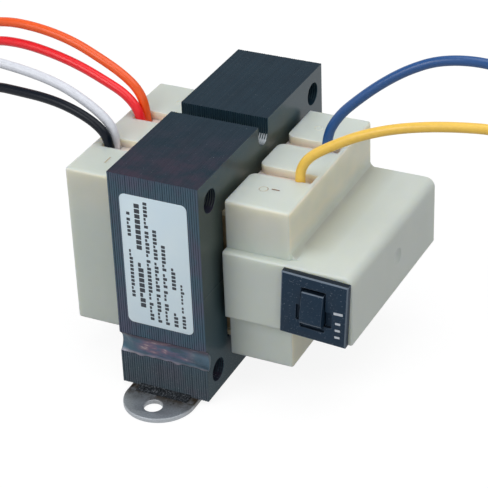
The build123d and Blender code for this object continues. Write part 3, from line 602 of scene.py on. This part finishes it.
mark_depth = 0.5 * mm
pin_radius = 1.3 * mm
pin_score = 0.14 * mm
sprue_y, sprue_z = 0.3 * mm, 36.8 * mm
dimple_radius = 2.7 * mm
dimple_depth = 0.6 * mm
ball_radius = (dimple_radius ** 2 + dimple_depth ** 2) / (2 * dimple_depth)
for node, name, side, mark, pins in (
        ("primary_cover", "left_cover", -1, ((-26.7, -23.2), (-26.3, -19.4)), [(-23.4, 19.9)]),
        ("secondary_cover", "right_cover", 1, ((25.6, -19.4), (28.1, -18.9)), [(23.4, -19.9), (23.3, 19.9)])):
    cover = from_frame(node, name)
    bpy.ops.object.mode_set(mode="OBJECT")
    (x0, y0), (x1, y1) = mark
    low = Vector((x0 * mm, y0 * mm, pad_top - mark_depth))
    high = Vector((x1 * mm, y1 * mm, pad_top + mark_depth))
    cut(cover, block(low, high))
    for x, y in pins:
        cut(cover, ring_tool((x * mm, y * mm, pad_top), pin_radius, pin_score))
    outer_face = cover.ray_cast(Vector((side, sprue_y, sprue_z)), Vector((-side, 0, 0)))[1]
    bpy.ops.mesh.primitive_uv_sphere_add(
        segments=48, ring_count=100, radius=ball_radius, rotation=(0, pi / 2, 0),
        location=outer_face + Vector((side * (ball_radius - dimple_depth), 0, 0)))
    bpy.ops.object.transform_apply(location=True, rotation=True)
    cut(cover, bpy.context.object)
    bpy.ops.object.shade_smooth_by_angle(angle=radians(40))
    flats = cover.modifiers.new("flats", "WEIGHTED_NORMAL")
    flats.keep_sharp = True
    bpy.ops.object.modifier_apply(modifier=flats.name)
    cover.data.materials.append(cover_nylon)
    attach(cover, "transformer")
    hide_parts(node)


# Breaker: a snap-in thermal cut-out. Its case and its faceplate are moulded in blue-black
# phenolic, dull from handling, with dust caught round the button. Their rounded edges are painted
# pale, a painted highlight, and faces that look straight up are painted darker, a painted shade.
breaker_plastic, tree, place = new_finish("moulded_phenolic")
handled_width = 5 * mm
dust_width = 0.45 * mm
handled = add(tree, "TexNoise", {"Vector": place, "Scale": 1 / handled_width, "Detail": 4})
dust = add(tree, "TexNoise", {"Vector": place, "Scale": 1 / dust_width, "Detail": 2})
navy = add(tree, "Mix", {0: handled, 6: colour("#152a3d"), 7: colour("#20374b")}, data_type="RGBA")
specks = add(tree, "MapRange", {"Value": dust, "From Min": 0.64, "From Max": 0.72, "To Max": 0.6})
dusty = add(tree, "Mix", {0: specks, 6: navy, 7: colour("#7d8794")}, data_type="RGBA")
turned = add(tree, "VectorMath", {0: add(tree, "NewGeometry", {}).outputs["True Normal"]}, operation="ABSOLUTE")
turned = add(tree, "SeparateXYZ", {"Vector": turned})
square = add(tree, "Math", {0: turned.outputs["X"], 1: turned.outputs["Y"]}, operation="MAXIMUM")
square = add(tree, "Math", {0: square, 1: turned.outputs["Z"]}, operation="MAXIMUM")
# painted highlight on the rounded edges, and painted shade on faces that look straight up
painted_edge_highlight = add(tree, "MapRange", {"Value": square, "From Min": 0.93, "From Max": 0.88, "To Max": 0.6})
upward = add(tree, "MapRange", {"Value": turned.outputs["Z"], "From Min": 0.9, "From Max": 0.94, "To Max": 0.7})
shaded = add(tree, "Mix", {0: upward, 6: dusty, 7: colour("#0d1218")}, data_type="RGBA")
tone = add(tree, "Mix", {0: painted_edge_highlight, 6: shaded, 7: colour("#8b98a6")}, data_type="RGBA")
gloss = add(tree, "MapRange", {"Value": handled, "To Min": 0.38, "To Max": 0.52})
shader = add(tree, "BsdfPrincipled", {
    "Base Color": tone, "Roughness": gloss, "Specular IOR Level": 0.2})
add(tree, "OutputMaterial", {"Surface": shader})
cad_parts["breaker_case"].data.materials[0] = breaker_plastic
for node, name, body, slot in (
        ("breaker_faceplate", "faceplate", "transformer", "breaker_plastic"),
        ("reset_button", "push_button", "reset_button", "button_plastic")):
    moulding = from_frame(node, name)
    round_edges(moulding, width=0.15 * mm, segments=2)
    moulding.data.materials.append(breaker_plastic)
    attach(moulding, body)
    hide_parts(node)


# Rating print: stamped on the faceplate in white ink, down its right side. Plain bars stand where
# the figure and the letters would be.
def printed_bars(name, bars, depth):
    """Thin bars of ink on an upright face that looks along -Y, each between two corners"""
    bpy.ops.mesh.primitive_cube_add(size=1)
    ink = bpy.context.object
    ink.name = name
    bpy.ops.object.mode_set(mode="EDIT")
    bpy.ops.mesh.select_all(action="SELECT")
    bpy.ops.mesh.delete(type="VERT")
    for (x0, z0), (x1, z1), y in bars:
        middle = Vector(((x0 + x1) / 2, y - depth / 2, (z0 + z1) / 2))
        bpy.ops.mesh.select_all(action="DESELECT")
        bpy.ops.mesh.primitive_cube_add(size=1, location=middle)
        bpy.ops.transform.resize(value=(x1 - x0, depth, z1 - z0), center_override=middle)
    pick(ink, "EDGE", lambda edge: abs(edge.verts[0].co.y - edge.verts[1].co.y) > depth / 2)
    bpy.ops.mesh.bevel(offset=0.12 * mm, segments=2, affect="EDGES")
    bpy.ops.object.mode_set(mode="OBJECT")
    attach(ink, "transformer")
    return ink


ink_depth = 0.012 * mm
white_ink, tree, place = new_finish("stamped_white_ink")
worn_width = 0.4 * mm
worn = add(tree, "TexNoise", {"Vector": place, "Scale": 1 / worn_width, "Detail": 3})
tone = add(tree, "Mix", {0: worn, 6: colour("#b9c2cc"), 7: colour("#e3e8ee")}, data_type="RGBA")
shader = add(tree, "BsdfPrincipled", {"Base Color": tone, "Roughness": 0.5})
add(tree, "OutputMaterial", {"Surface": shader})
plate_low, plate_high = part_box("breaker_faceplate")
plate_middle = (plate_low + plate_high) / 2
plate_turn = radians(3.2)
bar_across = 7.6
rating_bars = []
for up, half_width, half_height in ((0.9, 1.4, 0.42), (-2.4, 0.8, 0.36), (-4.7, 0.8, 0.36), (-7.0, 0.8, 0.36)):
    x = plate_middle.x + (bar_across * cos(plate_turn) + up * sin(plate_turn)) * mm
    z = plate_middle.z + (up * cos(plate_turn) - bar_across * sin(plate_turn)) * mm
    low_corner = (x - half_width * mm, z - half_height * mm)
    high_corner = (x + half_width * mm, z + half_height * mm)
    rating_bars.append((low_corner, high_corner, plate_low.y))
rating_print = printed_bars("rating_print", rating_bars, ink_depth)
rating_print.data.materials.append(white_ink)


# Breaker's works, sealed in its case: a coil spring behind the button, two brass blades with
# contacts, the bimetal strip between them, and two insulated jumpers to the secondary winding.
for nodes, name, codes, metallic, gloss, grain in (
        (["button_spring"], "drawn_spring_steel", ("#8a8f94", "#b4b9bd"), 1, 0.25, 0.3),
        (["line_terminal", "load_terminal"], "rolled_brass", ("#a5813c", "#cda95a"), 1, 0.3, 0.6),
        (["bimetal_strip"], "rolled_bimetal", ("#9d8f7d", "#bcb09c"), 1, 0.35, 0.6),
        (["line_jumper", "load_jumper"], "jumper_plastic", ("#3a2d7d", "#453891"), 0, 0.4, 1.5)):
    works, tree, place = new_finish(name)
    grains = add(tree, "TexNoise", {"Vector": place, "Scale": 1 / (grain * mm), "Detail": 3})
    tone = add(tree, "Mix", {0: grains, 6: colour(codes[0]), 7: colour(codes[1])}, data_type="RGBA")
    shader = add(tree, "BsdfPrincipled", {"Base Color": tone, "Metallic": metallic, "Roughness": gloss})
    add(tree, "OutputMaterial", {"Surface": shader})
    for node in nodes:
        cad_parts[node].data.materials[0] = works


# Nameplate: a polyester label stuck on the front edges of the sheets, with lines of print that run
# upwards. The print is plain blocks about as large as its letters would be, and a line is given as its
# place across, the height and width of its blocks, its start and the blocks in each word, 0 for a gap.
label_film, tree, place = new_finish("polyester_label")
haze_width = 9 * mm
haze = add(tree, "TexNoise", {"Vector": place, "Scale": 1 / haze_width, "Detail": 2})
tone = add(tree, "Mix", {0: haze, 6: colour("#dff3ff"), 7: colour("#ebfaff")}, data_type="RGBA")
shader = add(tree, "BsdfPrincipled", {"Base Color": tone, "Roughness": 0.35})
add(tree, "OutputMaterial", {"Surface": shader})
label = from_frame("nameplate_label", "label")
round_edges(label, width=0.05 * mm, segments=2)
label.data.materials.append(label_film)
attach(label, "transformer")
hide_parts("nameplate_label")

black_ink, tree, place = new_finish("printed_black_ink")
worn = add(tree, "TexNoise", {"Vector": place, "Scale": 1 / worn_width, "Detail": 3})
tone = add(tree, "Mix", {0: worn, 6: colour("#20262e"), 7: colour("#3b444e")}, data_type="RGBA")
shader = add(tree, "BsdfPrincipled", {"Base Color": tone, "Roughness": 0.45})
add(tree, "OutputMaterial", {"Surface": shader})
label_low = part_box("nameplate_label")[0]
letter_gap = 0.3
word_gap = 0.7
blank_gap = 3.5
letter_heights = (1, 1, 1, 0.55)
draw = Random(7)
label_bars = []
for across, height, width, start, words in (
        (2.5, 1.1, 0.95, 9.0, (13, 0, 5, 1)), (5.4, 1.7, 1.4, 6.0, (9, 0, 9)),
        (8.1, 1.25, 0.95, 2.2, (5, 11, 7, 7)), (10.6, 1.25, 0.95, 1.9, (8, 8, 8)),
        (13.1, 1.25, 0.95, 1.7, (6, 3, 4, 7)), (15.9, 1.3, 0.95, 1.7, (4, 0, 0, 6)),
        (18.5, 1.1, 0.85, 1.7, (4, 2, 6))):
    z = label_low.z + start * mm
    for word in words:
        for _ in range(word):
            low_x = label_low.x + (across - height / 2) * mm
            letter_height = height * draw.choice(letter_heights)
            label_bars.append(((low_x, z), (low_x + letter_height * mm, z + width * mm), label_low.y))
            z += (width + letter_gap) * mm
        z += (word_gap if word else blank_gap) * mm
label_print = printed_bars("label_print", label_bars, ink_depth)
label_print.data.materials.append(black_ink)


# Leads: stranded hook-up wire in a thick plastic jacket, six colours. Each stands in a channel of
# a cover, arches out over the side and comes down to lie on the bench. A lead is given as its colour,
# its shine, its length in metres and its route in mm.
lead_diameter = 3 * mm
strand_radius = 0.215 * mm
strand_ring = 2.04 * strand_radius
strip_length = 9 * mm
strand_twist = radians(420)
leads = {
    "black": ("#060f1c", 0.25, 0.1788, [
        (-30.5, -12.65, 58.35), (-30.5, -12.65, 65.1), (-35.7, -11.6, 69.1), (-44.2, -10.8, 72.1),
        (-53.1, -9.6, 73.1), (-63.0, -8.4, 72.9), (-73.6, -7.0, 72.4), (-84.6, -7.2, 69.0),
        (-95.5, -8.3, 61.0), (-105.5, -10.0, 48.5), (-112.0, -12.0, 33.0), (-117.0, -14.0, 17.5),
        (-125.0, -18.0, 5.2), (-135.0, -26.0, 1.5), (-141.0, -38.0, 1.5), (-142.0, -50.0, 1.5)]),
    "white": ("#e4e6ee", 0.55, 0.1846, [
        (-30.5, -9.55, 58.35), (-30.5, -9.55, 61.5), (-30.8, -9.1, 65.0), (-32.7, -8.5, 68.4),
        (-39.2, -7.8, 72.7), (-49.7, -7.0, 77.3), (-63.9, -6.2, 79.6), (-79.2, -5.6, 80.4),
        (-94.0, -5.5, 73.8), (-106.5, -5.5, 62.5), (-115.5, -5.5, 47.0), (-121.5, -5.5, 30.0),
        (-128.5, -5.3, 14.0), (-140.0, -5.5, 3.2), (-153.0, -7.5, 1.5), (-163.0, -11.5, 1.5)]),
    "red": ("#ff1c28", 0.55, 0.1838, [
        (-30.2, 6.75, 58.35), (-30.2, 6.75, 63.9), (-35.3, 8.0, 69.1), (-43.7, 9.0, 72.3),
        (-53.2, 10.4, 75.1), (-63.8, 11.8, 76.9), (-75.2, 13.2, 77.7), (-87.3, 14.7, 76.3),
        (-98.5, 16.3, 69.0), (-108.5, 17.8, 56.5), (-115.0, 19.0, 40.5), (-120.0, 20.5, 24.0),
        (-128.0, 23.0, 9.5), (-138.0, 28.5, 1.9), (-147.0, 37.0, 1.5), (-153.0, 47.0, 1.5)]),
    "orange": ("#ff5f1c", 0.55, 0.1887, [
        (-30.2, 9.85, 58.35), (-30.2, 9.85, 64.9), (-32.8, 10.6, 70.3), (-38.5, 11.3, 74.4),
        (-46.6, 12.1, 78.0), (-56.7, 13.1, 81.7), (-68.8, 14.2, 83.6), (-82.3, 15.4, 83.4),
        (-95.5, 17.5, 78.8), (-108.5, 20.0, 68.3), (-117.5, 22.5, 53.5), (-123.0, 25.0, 36.5),
        (-128.5, 28.0, 19.5), (-136.5, 33.0, 6.4), (-145.0, 41.0, 1.5), (-149.5, 51.5, 1.5)]),
    "yellow": ("#ffd058", 0.55, 0.2056, [
        (30.8, -11.0, 58.35), (30.8, -11.0, 61.6), (30.6, -10.2, 66.3), (33.2, -9.3, 70.4),
        (39.4, -8.3, 74.4), (48.1, -7.0, 79.0), (59.6, -5.5, 82.8), (73.7, -3.7, 85.0),
        (88.5, -1.8, 85.6), (103.0, -0.6, 79.8), (115.5, -0.5, 69.0), (124.0, -1.5, 54.5),
        (129.5, -3.0, 38.0), (134.0, -5.0, 21.5), (140.5, -9.0, 8.0), (148.5, -17.0, 1.5),
        (153.5, -28.0, 1.5), (154.5, -39.0, 1.5)]),
    "blue": ("#1f5391", 0.55, 0.2005, [
        (30.4, 8.6, 58.35), (30.4, 8.6, 67.3), (34.2, 9.7, 74.6), (40.0, 10.8, 80.4),
        (46.4, 12.0, 85.9), (53.9, 13.4, 91.0), (63.0, 15.0, 95.0), (75.1, 16.7, 95.8),
        (87.3, 18.8, 92.6), (98.5, 21.4, 83.3), (108.0, 24.0, 70.0), (114.5, 26.5, 54.0),
        (119.5, 28.5, 37.0), (125.5, 31.0, 20.5), (133.5, 34.5, 6.9), (143.0, 40.0, 1.5),
        (149.0, 49.0, 1.5)]),
}

# Tinned copper: bright, thin strands, twisted together where the jacket was stripped off.
tinned_copper, tree, place = new_finish("tinned_copper_strands")
tarnish_width = 0.6 * mm
tarnish = add(tree, "TexNoise", {"Vector": place, "Scale": 1 / tarnish_width, "Detail": 2})
tone = add(tree, "Mix", {0: tarnish, 6: colour("#a89a8c"), 7: colour("#d4cec6")}, data_type="RGBA")
shader = add(tree, "BsdfPrincipled", {"Base Color": tone, "Metallic": 1, "Roughness": 0.28})
add(tree, "OutputMaterial", {"Surface": shader})

for name, (code, shine, length, route) in leads.items():
    points = [Vector(point) * mm for point in route]
    wire = bpy.data.curves.new(name + "_wire", "CURVE")
    wire.dimensions = "3D"
    wire.bevel_depth = lead_diameter / 2
    wire.bevel_resolution = 6
    wire.use_fill_caps = True
    spline = wire.splines.new("NURBS")
    spline.points.add(len(points) - 1)
    for control, point in zip(spline.points, points):
        control.co = (*point, 1)
    spline.order_u = 3
    spline.use_endpoint_u = True
    spline.resolution_u = 10
    lead = bpy.data.objects.new(name + "_wire", wire)
    bpy.context.scene.collection.objects.link(lead)

    # Extruded vinyl: an even, shiny colour with a faint drawn grain.
    jacket, tree, place = new_finish(name + "_vinyl_jacket")
    grain_width = 1.2 * mm
    grain = add(tree, "TexNoise", {"Vector": place, "Scale": 1 / grain_width, "Detail": 3})
    shade = add(tree, "MapRange", {"Value": grain, "To Min": 0.9, "To Max": 1.1})
    tone = add(tree, "HueSaturation", {"Color": colour(code), "Value": shade})
    bump = add(tree, "Bump", {"Height": grain, "Strength": 0.1, "Distance": 0.05 * mm})
    shader = add(tree, "BsdfPrincipled", {
        "Base Color": tone, "Roughness": 0.32, "Normal": bump, "Specular IOR Level": shine})
    add(tree, "OutputMaterial", {"Surface": shader})
    wire.materials.append(jacket)

    bpy.ops.mesh.primitive_cylinder_add(
        vertices=8, radius=strand_radius, depth=strip_length, location=(0, 0, strip_length / 2))
    tip = bpy.context.object
    tip.name = name + "_strands"
    bpy.ops.object.transform_apply(location=True)
    bpy.ops.object.mode_set(mode="EDIT")
    for turn in range(6):
        angle = turn * pi / 3
        spot = Vector((strand_ring * cos(angle), strand_ring * sin(angle), strip_length / 2))
        bpy.ops.mesh.primitive_cylinder_add(vertices=8, radius=strand_radius, depth=strip_length, location=spot)
    pick(tip, "EDGE", lambda edge: abs(edge.verts[0].co.z - edge.verts[1].co.z) > strip_length / 2)
    bpy.ops.mesh.subdivide(number_cuts=14)
    bpy.ops.object.mode_set(mode="OBJECT")
    twist = tip.modifiers.new("twist", "SIMPLE_DEFORM")
    twist.deform_method = "TWIST"
    twist.deform_axis = "Z"
    twist.angle = strand_twist
    bpy.ops.object.modifier_apply(modifier=twist.name)
    tip.rotation_mode = "QUATERNION"
    tip.rotation_quaternion = (points[-1] - points[-2]).to_track_quat("Z", "Y")
    tip.location = points[-1]
    bpy.ops.object.transform_apply(location=True, rotation=True, scale=True)
    bpy.ops.object.shade_smooth_by_angle(angle=radians(50))
    tip.data.materials.append(tinned_copper)
    for piece, node, slot in (
            (lead, name + "_lead", name + "_jacket"), (tip, name + "_lead_strands", "tinned_copper")):
        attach(piece, "transformer")
        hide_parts(node)


# Studio: a pale bench without edges and a white wall round it, under soft white light from a large
# box overhead and two weaker ones at the sides.
bench_size = 8
bench_drop = 0.05 * mm
mirrored_glow = 0.4
seen_glow = 0.77
bpy.ops.mesh.primitive_plane_add(size=bench_size, location=(0, 0, -bench_drop))
bench = bpy.context.object
bench.name = "bench"
bench_white, tree, _ = new_finish("white_bench")
seen = add(tree, "LightPath", {})
mirrored = add(tree, "Math", {0: seen.outputs["Is Glossy Ray"], 1: seen.outputs["Is Transmission Ray"]},
               operation="MAXIMUM")
direct = add(tree, "Math", {0: seen.outputs["Is Camera Ray"], 1: mirrored}, operation="MAXIMUM")
own = add(tree, "Math", {0: mirrored, 1: mirrored_glow}, operation="MULTIPLY")
share = add(tree, "Math", {0: seen.outputs["Is Camera Ray"], 1: seen_glow, 2: own}, operation="MULTIPLY_ADD")
grey = add(tree, "Mix", {0: direct, 6: colour("#9c9c9c"), 7: colour("#dcdcdc")}, data_type="RGBA")
lit = add(tree, "BsdfDiffuse", {"Color": grey})
white = add(tree, "Emission", {"Color": (1, 1, 1, 1), "Strength": 1.15})
mixed = add(tree, "MixShader", {0: share, 1: lit, 2: white})
add(tree, "OutputMaterial", {"Surface": mixed})
bench.data.materials.append(bench_white)

studio = bpy.data.worlds.new("studio")
bpy.context.scene.world = studio
studio.use_nodes = True
tree = studio.node_tree
tree.nodes.clear()
seen = add(tree, "LightPath", {})
mirrored = add(tree, "Math", {0: seen.outputs["Is Glossy Ray"], 1: seen.outputs["Is Transmission Ray"]},
               operation="MAXIMUM")
height = add(tree, "SeparateXYZ", {"Vector": add(tree, "TexCoord", {}).outputs["Generated"]})
wall = add(tree, "MapRange", {"Value": height.outputs["Z"], "From Min": 0.45, "From Max": 0.25})
mirrored = add(tree, "Math", {0: mirrored, 1: wall}, operation="MULTIPLY")
direct = add(tree, "Math", {0: seen.outputs["Is Camera Ray"], 1: mirrored}, operation="MAXIMUM")
room = add(tree, "Background", {"Color": colour("#eef2f6"), "Strength": 0.42})
backdrop = add(tree, "Background", {"Color": (1, 1, 1, 1), "Strength": 1})
mixed = add(tree, "MixShader", {0: direct, 1: room, 2: backdrop})
add(tree, "OutputWorld", {"Surface": mixed})

for name, spot, size, power in (
        ("overhead", (0.2, 0.1, 1.1), 1.0, 6.2),
        ("left_box", (-0.45, -0.8, 0.75), 0.6, 4.2),
        ("right_box", (0.8, -0.9, 0.6), 0.7, 1.1)):
    bpy.ops.object.light_add(type="AREA", location=spot)
    lamp = bpy.context.object
    lamp.name = name
    lamp.data.size = size
    lamp.data.energy = power
    lamp.rotation_mode = "QUATERNION"
    lamp.rotation_quaternion = (core_middle - Vector(spot)).to_track_quat("-Z", "Y")

bpy.context.scene.view_settings.view_transform = "Standard"
